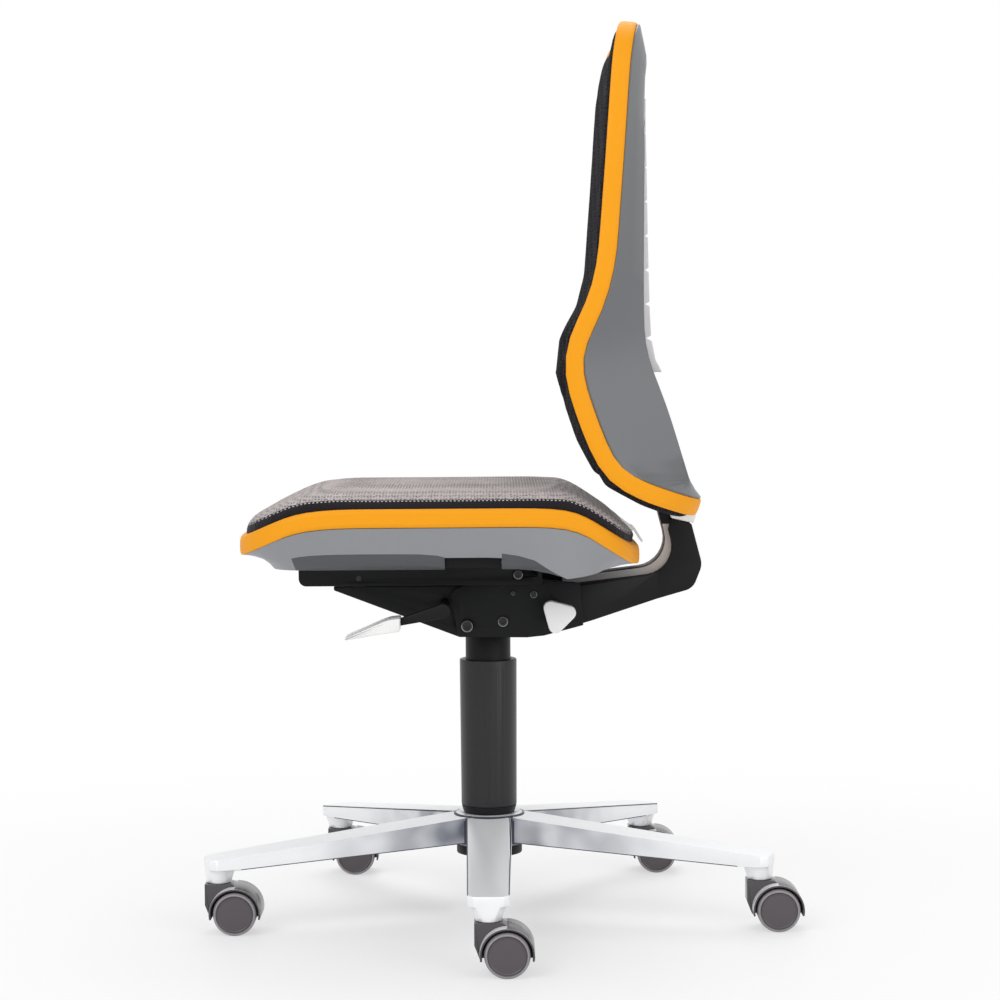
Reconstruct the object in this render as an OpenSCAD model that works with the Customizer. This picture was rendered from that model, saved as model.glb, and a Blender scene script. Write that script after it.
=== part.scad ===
// Laboratory swivel chair on a five-star base.
// +Z is up, the origin lies on the floor under the column, the chair faces -Y.

/* [Castors] */
// Wheel diameter
wheel_d = 50; // [40:1:65]
// Width of one wheel
wheel_w = 19; // [14:0.5:22]
// Thickness of the soft tread
tread_t = 4.5; // [3:0.5:6]
// Horizontal distance from the swivel stem to the wheel axle
castor_trail = 20; // [14:1:26]
// Gap between the two wheels, where the housing web runs
wheel_gap = 20; // [14:1:26]
// Axle diameter
axle_d = 8; // [6:0.5:10]
// Swivel stem diameter
stem_d = 11; // [8:0.5:13]
// Depth of the stem socket in the base
stem_depth = 22; // [16:1:24]
// Wall of the castor housing
hood_t = 2.2; // [1.5:0.1:3]
// Gap between wheel and housing
hood_gap = 2.6; // [1.5:0.1:4]

/* [Base] */
// Distance from the column axis to each castor stem
stem_radius = 330; // [280:5:380]
// Number of legs
leg_count = 5; // [5:1:6]
// Hub radius
hub_r = 41; // [38:0.5:46]
// Height of the hub
hub_h = 37; // [32:1:44]
// Width of a leg at the hub
leg_w_root = 54; // [46:1:60]
// Width of a leg at its tip
leg_w_tip = 46; // [38:1:50]
// Height of a leg at the hub
leg_h_root = 30; // [26:1:36]
// Height of a leg at its tip
leg_h_tip = 12; // [10:0.5:15]
// Drop of the leg's top from hub to tip
leg_drop = 35; // [25:1:50]
// Wall of the hollow leg
leg_wall = 4; // [3:0.5:6]
// Radius of the castor boss at its lower end
boss_r = 14; // [13:0.5:17]
// Height of the castor boss
boss_h = 28; // [24:1:34]

/* [Column] */
// Outer diameter of the gas spring's outer tube
lift_tube_d = 50; // [44:1:56]
// Wall of the outer tube
lift_tube_t = 1.8; // [1.2:0.1:3]
// Height of the outer tube
lift_tube_h = 224; // [190:1:226]
// Diameter of the pressure tube
cylinder_d = 28; // [24:1:32]
// Wall of the pressure tube
cylinder_t = 1.5; // [1:0.1:2]
// Piston rod diameter
rod_d = 10; // [8:0.5:12]
// Length of the guide bush
bush_h = 50; // [30:1:55]
// Outer diameter of the lower sleeve at its top
lower_sleeve_d = 68; // [64:0.5:74]
// Height of the lower sleeve
lower_sleeve_h = 175; // [150:1:180]
// Outer diameter of the upper sleeve
upper_sleeve_d = 53.6; // [52.4:0.2:56]
// Height of the upper sleeve
upper_sleeve_h = 160; // [145:1:170]
// Height of the tapered ring on the hub
collar_h = 9.5; // [8:0.5:14]
// Height of the cap below the hub
cap_h = 11; // [6:0.5:12]
// Travel of the lift above the drawn height
lift_up = 110; // [60:5:115]
// Travel of the lift below the drawn height
lift_down = 20; // [10:1:24]

/* [Mechanism] */
// Height of the mechanism's underside
mech_z = 337; // [335:1:360]
// Height of the mechanism housing
mech_h = 61; // [56:1:66]
// Outer width of the housing
mech_w = 116; // [104:1:120]
// Wall of the housing
mech_t = 4; // [3:0.5:6]
// Reach of the housing in front of the column
mech_front = 180; // [160:1:200]
// Reach of the housing behind the column
mech_rear = 60; // [50:1:64]
// Thickness of the back arm's side plates
plate_t = 6; // [4:0.5:7]
// Running gap between moving plates
run_gap = 2.5; // [1.5:0.1:3]
// Diameter of the main pivot bolts
pivot_d = 9; // [8:0.5:12]
// Diameter of the carrier pins
pin_d = 7; // [6:0.5:9]
// Recline of the back arm in degrees
recline_max = 20; // [10:1:22]
// Seat tilt for each degree of recline
seat_tilt_share = 0.37; // [0.3:0.01:0.42]
// Wire diameter of the tilt spring
spring_wire = 5; // [3:0.5:6]
// Outer diameter of the tilt spring
spring_d = 30; // [24:1:32]
// Free length of the tilt spring
spring_l = 56; // [44:1:60]

/* [Seat carrier] */
// Height of the carrier
carrier_h = 28; // [24:1:32]
// Thickness of its sheet
carrier_t = 4; // [3:0.5:5]
// Reach of the carrier in front of the column
carrier_front = 220; // [200:1:230]
// Reach of the carrier behind the column
carrier_rear = 64; // [62:1:68]
// Travel of the seat towards the front
seat_travel = 50; // [20:5:60]
// Thickness of the seat slide plate
slide_t = 3; // [2:0.5:4]

/* [Seat] */
// Width of the seat over its band
seat_w = 460; // [420:5:500]
// Reach of the seat in front of the column
seat_front = 292; // [275:1:305]
// Reach of the seat behind the column
seat_rear = 182; // [172:1:190]
// Height of the coloured band
band_h = 21; // [17:0.5:24]
// Thickness of the coloured band
band_t = 8; // [6:0.5:10]
// Height of the cushion's side above the band
gusset_h = 11.5; // [8:0.5:14]
// Crown of the seat cushion
seat_crown = 6; // [3:0.5:9]
// Corner radius of the seat
seat_corner = 78; // [60:1:95]
// Depth of the seat shell below the band
shell_depth = 49; // [44:1:52]
// Wall of the plastic shells
shell_t = 3.5; // [2.5:0.5:5]

/* [Backrest] */
// Width of the backrest over its band
back_w = 430; // [390:5:460]
// Height of the backrest
back_h = 562; // [520:1:600]
// Drop of the backrest's lower edge below the seat band's upper edge
back_drop = 15; // [8:1:18]
// Distance of that lower edge behind the column
back_reach = 230; // [226:1:236]
// Thickness of the back cushion in front of the band
back_cushion_t = 8; // [6:0.5:12]
// Corner radius of the backrest
back_corner = 62; // [45:1:75]
// Width of the back band, seen from the side
back_band_w = 20.5; // [16:0.5:24]
// Thickness of the back band
back_band_t = 8; // [6:0.5:10]
// Curvature of the backrest in plan, as its depth at the side edge
back_wrap = 30; // [15:1:40]
// Travel of the backrest along the arm
back_travel = 60; // [20:5:70]
// Height of the arch in the backrest's lower edge, over the arm
back_arch = 78; // [73:1:92]
// Thickness of the arm's blade
blade_t = 12; // [9:0.5:14]
// Width of the arm's blade
blade_w = 44; // [36:1:50]
// Width of the arm's outer channel
arm_w = 60; // [52:1:70]

/* [Hidden] */
$fn = 64;

// Clearances and the overrun of every cut
cut = 1;
fit = 0.02;
turn = 0.06;
skim = 0.3;

// Castor, in its own frame with the stem over the origin and the wheels behind
wheel_r = wheel_d / 2;
castor_half = wheel_gap / 2 + wheel_w;
well_r = wheel_r + hood_gap;
hood_r = well_r + hood_t;
neck_rise = 3.2;
castor_h = wheel_r + hood_r + neck_rise;
neck_front = 15.5;
hood_end_z = 19;
web_gap = 1;
web_half = wheel_gap / 2 - web_gap;
axle_boss_r = axle_d / 2 + 4;
face_r = wheel_r - tread_t;
face_dish = 0.8;
wheel_cap = 2.5;
stem_seat = 14;

// Base levels
boss_z = castor_h + skim;
boss_flare = 7;
boss_top_r = boss_r + boss_flare;
leg_tip_z = boss_z + boss_h;
hub_top = leg_tip_z + leg_drop;
hub_z = hub_top - hub_h;
tip_corner = 7;
leg_end = stem_radius + boss_r + skim;
leg_step = 360 / leg_count;
pocket_root = hub_r + 12;
web_r = leg_w_root / 2 / sin(leg_step / 2) + cut;
web_drop = 3;
pocket_tip = stem_radius - 2 * boss_top_r;

// Column levels
tube_r = lift_tube_d / 2;
tube_in_r = tube_r - lift_tube_t;
tube_z = hub_z - 19;
tube_floor = 3;
tube_top = tube_z + lift_tube_h;
rod_r = rod_d / 2;
bearing_h = 4;
bearing_r = rod_r + 9;
shoulder_r = rod_r + 3;
shoulder_h = 3;
clip_t = 2;
clip_r = rod_r + 4;
rod_tail = 5;
bush_flange = 3;
collar_top = hub_top + collar_h;
sleeve_top = collar_top + lower_sleeve_h;
sleeve_r = lower_sleeve_d / 2;
sleeve_draft = 1;
sleeve_wall = 2.5;
sleeve_lip = 3;
upper_r = upper_sleeve_d / 2;
upper_z = mech_z - upper_sleeve_h;
socket_h = 43;
cylinder_top = mech_z + socket_h + 5;
cyl_r = cylinder_d / 2;
cyl_in_r = cyl_r - cylinder_t;
cyl_plug = 10;
cyl_floor = 4;
rest_gap = 14;
cylinder_z = tube_z + tube_floor + bearing_h + shoulder_h + lift_down + rest_gap;
piston_h = 10;
piston_z = cylinder_z + cyl_floor + lift_up + 2;
button_r = 4;
button_rise = 8;
button_travel = 5;
button_len = 18;

// Mechanism
mech_top = mech_z + mech_h;
nose_h = 5;
flat_front = 33;
flat_rear = mech_rear - 14;
rear_chamfer = 4;
rear_relief = [20, 5];
socket_r = cyl_r + 4.5;
plate_x = mech_w / 2 + run_gap;
plate_out = plate_x + plate_t;
carrier_in = plate_out + run_gap;
carrier_out = carrier_in + carrier_t;
main_pivot = [-24, mech_z + 14];
front_pivot = [30 - mech_front, mech_top + 10];
link_pin = [36, mech_top + 13.5];
lobe_half = 8;
lobe_h = 7;
ear_r = 8;
bolt_head_t = 3.5;
head_gap = 0.4;
seat_tilt_max = recline_max * seat_tilt_share;
bar_r = spring_d / 2 - spring_wire - skim;
bar_place = [95 - mech_front, mech_top - 18];
lever_axis = [-50, mech_top - 20];
lever_r = 4;
lever_out = 168;
lever_arm_w = 12;
paddle_w = 46;
finger_w = 8;
finger_t = 4;
tilt_axis = [82, mech_z + 29];
tilt_out = plate_out + 26;
tilt_t = 16;
tilt_r = 21.5;
tilt_turn = 15;

// Carrier and slide
carrier_z = mech_top + 1;
carrier_top = carrier_z + carrier_h;
carrier_nose_r = 9;
lip_w = 5;
lip_t = 3;
slide_z = carrier_top + skim;
slide_top = slide_z + slide_t;
rail_in = carrier_out + lip_w + skim;
rail_out = rail_in + slide_t;
slide_front = carrier_front - 12;
slide_rear = carrier_rear - 4;

// Seat
skirt_drop = band_h + shell_depth;
seat_z = carrier_top + skirt_drop;
seat_half = seat_w / 2;
front_fall = 117;
front_run = 60;
front_slope_share = 0.46;
rear_fall = 106;
rear_run = 42;
rear_slope_share = 0.67;
front_bow = 12;
rear_bow = 14;
side_steps = 8;
corner_steps = 5;
board_t = 8;
board_drop = 10;
notch = [-47, 17];
notch_h = 14;
shell_edge = 2.5;
crease_inset = 26;
skirt_inset = 38;
floor_inset = 62;
stop_l = 11;
stop_reach = 21;
strap_t = 2.2;
strap_run = [12, 51];
strap_tail = 8;
button_d = 30;
depth_travel = 4;
// Lower edge of the shell's side face: share of the front or rear reach, share of the skirt's drop
crease_shares = [
    [-0.92, 0.72], [-0.8, 0.91], [-0.775, 0.855], [-0.71, 0.785], [-0.52, 0.767], [0.08, 0.79],
    [0.265, 0.86], [0.45, 1.1], [0.505, 1.167], [0.69, 1.077], [0.905, 0.925]
];
// Cushion top, from its side to its crown: inset from the band, share of the side's height, share of the crown
seat_inset = band_t + 2 * skim;
seat_inner = seat_inset + shell_t + skim;
cushion_steps = [for (row = [
    [seat_inset - 2, 0.33, 0], [seat_inset - 1, 0.75, 0], [seat_inset + 3, 1, 0.1], [seat_inset + 12, 1,
        0.25],
    [seat_half * 0.22, 1, 0.4], [seat_half * 0.42, 1, 0.7], [seat_half * 0.7, 1, 1]
]) [row[0], row[1] * gusset_h + row[2] * seat_crown]];

// Backrest: the side path runs down the front edge of the band, as shares of its reach and height
back_low = seat_z - back_drop;
back_top = back_low + back_h;
back_path_shares = [[0.626, 1], [0.604, 0.898], [0.53, 0.4585], [0.335, 0.3263], [0.557, 0.0681], [1, 0]];
back_radius_shares = [0.534, 0.098, 0.142, 0.11];
back_path_points = [for (share = back_path_shares) [share[0] * back_reach, back_low + share[1] * back_h]];
back_path_radii = back_radius_shares * back_h;
back_half = back_w / 2;
back_side_steps = 12;
arch_steps = 8;
arch_half = back_half / 2;
arch_flat = blade_w * 0.6;
back_inset = back_band_t + 2 * skim;
back_inner = back_inset + shell_t + skim;
// Half width over the length of the path, top to bottom
back_width_shares = [[0, 0.89], [0.25, 0.93], [0.5, 0.99], [0.65, 1], [0.85, 0.98], [1, 0.95]];
// Depth of the plan curve over the length of the path
back_wrap_shares = [[0, 0.6], [0.5, 0.9], [0.65, 1], [0.85, 0.8], [1, 0.5]];
// Rear face of the shell: share of the back's height, share of its reach
back_rear_shares = [
    [0, 1.053], [0.025, 1.045], [0.069, 1.017], [0.267, 0.871], [0.281, 0.856], [0.301, 0.823], [0.336,
        0.798],
    [0.377, 0.79], [0.537, 0.792], [0.838, 0.802], [0.897, 0.808], [0.927, 0.823], [0.979, 0.751], [1,
        0.722]
];
rear_edge = 42;
rear_share = 0.8;
nest_gap = 10;
rear_crown = 5;
back_board_t = 6;
// Insets of the cushion's rounded edge and its flat face
back_edge_insets = [-1, 3, 12, 30];
spine_w = 190;
spine_t = [12, 2.5];
spine_groove_share = 0.55;
spine_ribs = 8;
spine_z = [back_low + 0.292 * back_h, back_low + 0.85 * back_h];

// Back arm: side path of the arm's front ridge, from the mechanism to the neck
arm_root = 88;
arm_ridge_points = [[arm_root, mech_top + 6], [218.7, mech_top + 21], [206.1, mech_top + 70]];
arm_ridge_radii = [34];
arm_lower_points = [
    [arm_root, mech_z + 9], [243, mech_z + 53.3], [254, mech_z + 81], [241.5, mech_z + 129.5]
];
arm_lower_radii = [18, 22];
arm_taper = [122, 200];
arm_ridge_h = 8;
blade_len = 205;
blade_foot = 12;
collar_t = 8;
collar_rise = 2.5;
guide_z = [96, 156];

// Direction of a vector
function direction(v) = v / norm(v);
// Arc that rounds corner b between a and c with radius r
function corner_arc(a, b, c, r, n) =
    let (u = direction(a - b), w = direction(c - b), half = acos(u * w) / 2)
    let (start = b + u * r / tan(half), centre = b + direction(u + w) * r / sin(half))
    let (v = start - centre, bend = (180 - 2 * half) * sign(cross(b - a, c - b)))
    [for (i = [0:n]) let (q = bend * i / n)
        centre + [v[0] * cos(q) - v[1] * sin(q), v[0] * sin(q) + v[1] * cos(q)]];
// Open path with its inner corners rounded
function rounded_path(p, radii, n) = [
    p[0],
    for (i = [1:len(p) - 2]) each corner_arc(p[i - 1], p[i], p[i + 1], radii[i - 1], n),
    p[len(p) - 1]
];
// Distance along a path at each of its points
function path_run(p) = [
    for (i = 0, s = 0; i < len(p); s = s + (i < len(p) - 1 ? norm(p[i + 1] - p[i]) : 0), i = i + 1) s
];
// Points of a list in reverse order
function reversed(p) = [for (i = [len(p) - 1:-1:0]) p[i]];
// Point turned about a pivot by an angle that lowers its far side
function lowered(p, pivot, angle) =
    let (v = p - pivot)
    pivot + [v[0] * cos(angle) + v[1] * sin(angle), v[1] * cos(angle) - v[0] * sin(angle)];

// Outline in Y and Z, drawn out along X between two planes
module profile(points, x0, x1) {
    translate([x0, 0, 0]) rotate([90, 0, 90]) linear_extrude(x1 - x0) polygon(points);
}
// The same outline on both sides of the centre plane
module profile_pair(points, x0, x1) {
    profile(points, x0, x1);
    profile(points, -x1, -x0);
}
// Pin along X through a point given in Y and Z
module pin_x(place, r, x0, x1) {
    translate([x0, place[0], place[1]]) rotate([0, 90, 0]) cylinder(h = x1 - x0, r = r);
}
// The same pin on both sides of the centre plane
module pin_pair(place, r, x0, x1) {
    pin_x(place, r, x0, x1);
    pin_x(place, r, -x1, -x0);
}
// Upright ring or disc
module ring(z, h, r_out, r_in) {
    translate([0, 0, z]) difference() {
        cylinder(h = h, r = r_out);
        translate([0, 0, -cut]) cylinder(h = h + 2 * cut, r = r_in);
    }
}

// One leg along +X: plan outline and side outline, met in one solid
module leg_shape(inset, top_inset, x0, x1) {
    root_half = leg_w_root / 2 - inset;
    tip_half = leg_w_tip / 2 - inset;
    intersection() {
        translate([0, 0, hub_z - boss_h]) linear_extrude(2 * (hub_h + boss_h)) polygon([
            [x0, -root_half], [x1 - tip_corner, -tip_half], [x1, tip_corner - tip_half],
            [x1, tip_half - tip_corner], [x1 - tip_corner, tip_half], [x0, root_half]
        ]);
        rotate([90, 0, 0]) translate([0, 0, -leg_w_root]) linear_extrude(2 * leg_w_root) polygon([
            [0, hub_top - leg_h_root - inset * cut],
            [stem_radius - boss_top_r, leg_tip_z - leg_h_tip - inset * cut],
            [leg_end + cut, leg_tip_z - leg_h_tip - inset * cut],
            [leg_end + cut, leg_tip_z - top_inset],
            [0.6 * hub_r, hub_top - skim - top_inset],
            [0, hub_top - skim - top_inset]
        ]);
    }
}
module leg() {
    difference() {
        union() {
            leg_shape(0, 0, hub_r / 2, leg_end);
            intersection() {
                translate([stem_radius, 0, boss_z]) cylinder(h = boss_h - leg_h_tip / 2, r1 = boss_r,
                    r2 = boss_top_r);
                translate([0, -boss_top_r, 0]) cube([leg_end, 2 * boss_top_r, hub_top]);
            }
        }
        leg_shape(leg_wall, leg_wall, pocket_root, pocket_tip);
        translate([stem_radius, 0, boss_z - cut]) cylinder(h = stem_depth + cut, r = stem_d / 2 + turn);
    }
}
module star_base() {
    color("silver") difference() {
        union() {
            translate([0, 0, hub_z]) cylinder(h = hub_h, r = hub_r);
            translate([0, 0, hub_top - leg_h_root - web_drop]) cylinder(h = leg_h_root - web_drop,
                r = web_r);
            for (i = [0:leg_count - 1]) rotate([0, 0, i * leg_step]) leg();
        }
        translate([0, 0, hub_z - boss_h]) cylinder(h = hub_h + 2 * boss_h, r = tube_r + fit);
    }
}
// Tapered ring on the hub and the cap below it
module hub_caps() {
    color([0.12, 0.12, 0.13]) {
        difference() {
            translate([0, 0, hub_top]) cylinder(h = collar_h, r1 = sleeve_r - 4 * sleeve_draft,
                r2 = sleeve_r - sleeve_draft);
            translate([0, 0, hub_top - cut]) cylinder(h = collar_h + 2 * cut, r = tube_r + skim);
        }
        ring(hub_z - cap_h, cap_h, hub_r - 2 * sleeve_draft, tube_r + skim);
    }
}
module lower_sleeve() {
    bore_r = sleeve_r - sleeve_draft - sleeve_wall;
    color([0.2, 0.2, 0.21]) difference() {
        translate([0, 0, collar_top]) cylinder(h = lower_sleeve_h, r1 = sleeve_r - sleeve_draft,
            r2 = sleeve_r);
        translate([0, 0, collar_top + sleeve_lip]) cylinder(h = lower_sleeve_h - 2 * sleeve_lip,
            r = bore_r);
        translate([0, 0, collar_top - cut]) cylinder(h = sleeve_lip + 2 * cut, r = tube_r + skim);
        translate([0, 0, sleeve_top - sleeve_lip - cut]) cylinder(h = sleeve_lip + 2 * cut,
            r = upper_r + skim);
    }
}
module upper_sleeve() {
    color([0.15, 0.15, 0.16]) ring(upper_z, upper_sleeve_h, upper_r, tube_r + skim);
}
module lift_tube() {
    color([0.3, 0.3, 0.32]) difference() {
        translate([0, 0, tube_z]) cylinder(h = lift_tube_h, r = tube_r);
        translate([0, 0, tube_z + tube_floor]) cylinder(h = lift_tube_h, r = tube_in_r);
        translate([0, 0, tube_z - cut]) cylinder(h = tube_floor + 2 * cut, r = rod_r + turn);
    }
}
module lift_bush() {
    color([0.85, 0.85, 0.82]) {
        difference() {
            union() {
                translate([0, 0, tube_top - bush_h]) cylinder(h = bush_h, r = tube_in_r - fit);
                translate([0, 0, tube_top]) cylinder(h = bush_flange, r = tube_r);
            }
            translate([0, 0, tube_top - bush_h - cut])
                cylinder(h = bush_h + bush_flange + 2 * cut, r = cyl_r + turn);
        }
    }
}
module lift_cylinder() {
    color([0.1, 0.1, 0.1]) difference() {
        translate([0, 0, cylinder_z]) cylinder(h = cylinder_top - cylinder_z, r = cyl_r);
        translate([0, 0, cylinder_z + cyl_floor])
            cylinder(h = cylinder_top - cylinder_z - cyl_floor - cyl_plug - button_len, r = cyl_in_r);
        translate([0, 0, cylinder_z - cut]) cylinder(h = cyl_floor + 2 * cut, r = rod_r + turn);
        translate([0, 0, cylinder_top - button_len]) cylinder(h = button_len + cut, r = button_r + turn);
    }
}
module lift_rod() {
    color([0.75, 0.75, 0.78]) {
        translate([0, 0, tube_z - rod_tail]) cylinder(h = piston_z - tube_z + rod_tail + cut, r = rod_r);
        translate([0, 0, tube_z + tube_floor + bearing_h]) cylinder(h = shoulder_h, r = shoulder_r);
        translate([0, 0, piston_z]) cylinder(h = piston_h, r = cyl_in_r - turn);
    }
}
module thrust_bearing() {
    color([0.6, 0.6, 0.6]) ring(tube_z + tube_floor, bearing_h, bearing_r, rod_r + turn);
}
module lift_clip() {
    color([0.55, 0.55, 0.58]) ring(tube_z - clip_t - turn, clip_t, clip_r, rod_r + fit);
}
module release_button() {
    color([0.8, 0.2, 0.15])
        translate([0, 0, cylinder_top + button_rise - button_len + button_travel + cut])
            cylinder(h = button_len - button_travel - cut, r = button_r);
}

// One castor stands at each leg's tip, and all of them trail behind the chair
module at_castor(i) {
    place = (i - 1) * leg_step;
    translate([stem_radius * cos(place), stem_radius * sin(place), 0]) children();
}
module castor_housing(i) {
    axle = [castor_trail, wheel_r];
    color([0.32, 0.31, 0.33]) at_castor(i) difference() {
        union() {
            intersection() {
                pin_x(axle, hood_r, -castor_half, castor_half);
                translate([-2 * castor_half, -2 * hood_r, hood_end_z])
                    cube([4 * castor_half, 2 * hood_r + 2 * hood_r + castor_trail, castor_h]);
            }
            profile([
                [-neck_front, castor_h], [-neck_front, wheel_r + hood_t * 4],
                [castor_trail - hood_r, hood_end_z], [castor_trail, hood_end_z], [castor_trail,
                    castor_h - neck_rise],
                [neck_front, castor_h]
            ], -boss_r, boss_r);
            pin_x(axle, axle_boss_r, -web_half, web_half);
        }
        pin_x(axle, well_r, -castor_half - cut, -web_half);
        pin_x(axle, well_r, web_half, castor_half + cut);
        pin_x(axle, axle_d / 2 + fit, -castor_half, castor_half);
        translate([0, 0, castor_h - stem_seat]) cylinder(h = stem_seat + cut, r = stem_d / 2 + fit);
    }
}
module castor_stem(i) {
    color([0.7, 0.7, 0.72]) at_castor(i)
        translate([0, 0, castor_h - stem_seat]) cylinder(h = stem_seat + skim + stem_depth - cut,
            r = stem_d / 2);
}
module castor_axle(i) {
    reach = castor_half - wheel_cap - skim;
    color([0.7, 0.7, 0.72]) at_castor(i) pin_x([castor_trail, wheel_r], axle_d / 2, -reach, reach);
}
module castor_wheel(i, side) {
    axle = [castor_trail, wheel_r];
    x0 = wheel_gap / 2;
    color([0.45, 0.44, 0.46]) at_castor(i) mirror([side < 0 ? 1 : 0, 0, 0]) difference() {
        pin_x(axle, wheel_r, x0, castor_half);
        pin_x(axle, face_r - face_dish, castor_half - face_dish, castor_half + cut);
        pin_x(axle, axle_d / 2 + turn, x0 - cut, castor_half - wheel_cap);
    }
}

// Side outline of the mechanism housing, drawn in by a wall
function housing_outline(wall) = [
    [wall - mech_front, mech_top + (wall > 0 ? cut : 0)],
    [wall - mech_front, mech_top - nose_h + wall / 2],
    [-flat_front - wall / 4, mech_z + wall],
    [flat_rear, mech_z + wall],
    [mech_rear - wall, mech_z + rear_chamfer + wall],
    [mech_rear - wall, wall > 0 ? mech_top + cut : mech_top - rear_relief[1]],
    [rear_relief[0], mech_top + (wall > 0 ? cut : 0)]
];
module mechanism_housing() {
    half = mech_w / 2;
    ear = [mech_top - 2 * mech_t, front_pivot[1]];
    color([0.13, 0.13, 0.14]) difference() {
        union() {
            difference() {
                profile(housing_outline(0), -half, half);
                profile(housing_outline(mech_t), mech_t - half, half - mech_t);
            }
            translate([0, 0, mech_z]) cylinder(h = socket_h, r = socket_r);
            pin_pair(front_pivot, ear_r, half - 1.5 * mech_t, half);
            for (side = [-1, 1])
                translate([side * (half - 0.75 * mech_t), front_pivot[0], (ear[0] + ear[1]) / 2])
                    cube([1.5 * mech_t, 2 * ear_r, ear[1] - ear[0]], center = true);
            pin_pair(main_pivot, pivot_d, half - 2 * mech_t, half);
            pin_x(bar_place, bar_r, cut - half, half - cut);
        }
        translate([0, 0, mech_z - cut]) cylinder(h = socket_h + 2 * cut, r = cyl_r + fit);
        pin_pair(main_pivot, pivot_d / 2 + fit, half - 3 * mech_t, half + cut);
        pin_pair(front_pivot, pin_d / 2 + fit, half - 2 * mech_t, half + cut);
        pin_x(lever_axis, lever_r + turn, -half - cut, half + cut);
    }
}
module pivot_bolts() {
    half = mech_w / 2;
    color([0.25, 0.25, 0.27]) {
        pin_pair(main_pivot, pivot_d / 2, half - 2 * mech_t, plate_out + head_gap);
        difference() {
            pin_pair(main_pivot, pivot_d * 0.75, plate_out + head_gap, plate_out + head_gap + bolt_head_t);
            pin_pair(main_pivot, pivot_d / 4, plate_out + bolt_head_t / 2, plate_out + 2 * bolt_head_t);
        }
        pin_pair(front_pivot, pin_d / 2, half - 1.5 * mech_t, carrier_out);
    }
}
module tilt_spring() {
    color([0.5, 0.5, 0.52]) difference() {
        pin_x(bar_place, spring_d / 2, -spring_l / 2, spring_l / 2);
        pin_x(bar_place, spring_d / 2 - spring_wire, -spring_l / 2 - cut, spring_l / 2 + cut);
    }
}
// Lever shaft with its inner finger over the release button and its outer arm
module height_lever() {
    half = mech_w / 2;
    button_top = cylinder_top + button_rise;
    arm_end = [lever_axis[0] - 4 * lever_arm_w, lever_axis[1] - lever_arm_w];
    color([0.14, 0.14, 0.15]) {
        pin_x(lever_axis, lever_r, -half, lever_out);
        profile([
            [lever_axis[0] - lever_r, lever_axis[1]], [lever_axis[0] + lever_r, lever_axis[1]],
            [lever_axis[0] + lever_r + finger_t, button_top + skim],
            [button_r, button_top + skim], [button_r, button_top + skim + finger_t],
            [lever_axis[0] + lever_r, button_top + skim + finger_t]
        ], -finger_w / 2, finger_w / 2);
        pin_x(lever_axis, 2 * lever_r, lever_out - lever_arm_w, lever_out + 2);
        profile([
            [lever_axis[0], lever_axis[1] + 2 * lever_r],
            [arm_end[0], arm_end[1] + lever_r], [arm_end[0], arm_end[1] - lever_r],
            [lever_axis[0], lever_axis[1] - 2 * lever_r]
        ], lever_out - lever_arm_w, lever_out + 2);
    }
}
// Blade of the height lever: a thin crescent that reaches forward
module height_paddle() {
    root = [lever_axis[0] - 4 * lever_arm_w, lever_axis[1] - lever_arm_w];
    x0 = lever_out - paddle_w / 2;
    top = rounded_path([
        [root[0], root[1] + 1.5 * lever_r], [root[0] - 0.4 * lever_out / 5, root[1] + 1.2 * lever_r],
        [root[0] - 1.35 * paddle_w, root[1] - 4 * lever_r]
    ], [paddle_w], 8);
    color([0.93, 0.93, 0.92]) profile(
        concat(top, [[root[0] - 1.35 * paddle_w, root[1] - 4.6 * lever_r], [root[0] - paddle_w / 2,
            root[1] - 3 * lever_r],
            [root[0], root[1] - 2.2 * lever_r]]), x0, x0 + paddle_w);
}

// Yoke plates on both sides of the housing
function plate_outline() = concat(
    corner_arc([-34, mech_z + 3], [main_pivot[0] - 21, mech_top - 4], [link_pin[0] - 10,
        link_pin[1] - 2], 12, 6),
    corner_arc([main_pivot[0], mech_top], link_pin + [-lobe_half, lobe_h], link_pin + [0, lobe_h], 6, 3),
    [link_pin + [lobe_half, lobe_h], [mech_rear + 4, mech_top + 6], [arm_root + 20, mech_top + 3],
     [arm_root + 24, mech_z + 14], [arm_root - 22, mech_z + 2], [flat_rear, mech_z], [-34, mech_z + 1]]
);
module side_plates() {
    color([0.15, 0.15, 0.16]) difference() {
        profile_pair(plate_outline(), plate_x, plate_out);
        pin_pair(main_pivot, pivot_d / 2 + turn, plate_x - cut, plate_out + cut);
        pin_pair(link_pin, pin_d / 2 + fit, plate_x - cut, plate_out + cut);
        pin_x(tilt_axis, lever_r + turn, plate_x - cut, plate_out + cut);
    }
}
module plate_fasteners() {
    places = [[link_pin[0] - 18, mech_z + 19], [link_pin[0] - 6, mech_top - 9], [mech_rear - 6,
        mech_top - 10.5]];
    radius_shares = [0.8, 0.33, 0.57];
    color([0.28, 0.28, 0.3]) {
        pin_pair(link_pin, pin_d / 2, plate_x, carrier_out + head_gap);
        pin_pair(link_pin, pin_d * 0.75, carrier_out + head_gap, carrier_out + head_gap + bolt_head_t / 2);
        for (i = [0:2]) pin_pair(places[i], pin_d * radius_shares[i], plate_out,
            plate_out + bolt_head_t / 2);
    }
}
// Tilt lock: a short shaft with a rounded three-cornered grip
module tilt_lever() {
    color([0.93, 0.93, 0.92]) {
        pin_x(tilt_axis, lever_r, plate_x, tilt_out);
        translate([tilt_out, tilt_axis[0], tilt_axis[1]]) rotate([90, 0,
            90]) linear_extrude(tilt_t) polygon([
            for (i = [0:2])
                let (p = [for (k = [0:2]) tilt_r * 1.35 * [cos(120 * k + tilt_turn),
                    sin(120 * k + tilt_turn)]])
                each corner_arc(p[(i + 2) % 3], p[i], p[(i + 1) % 3], tilt_r * 0.38, 5)
        ]);
    }
}

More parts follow.
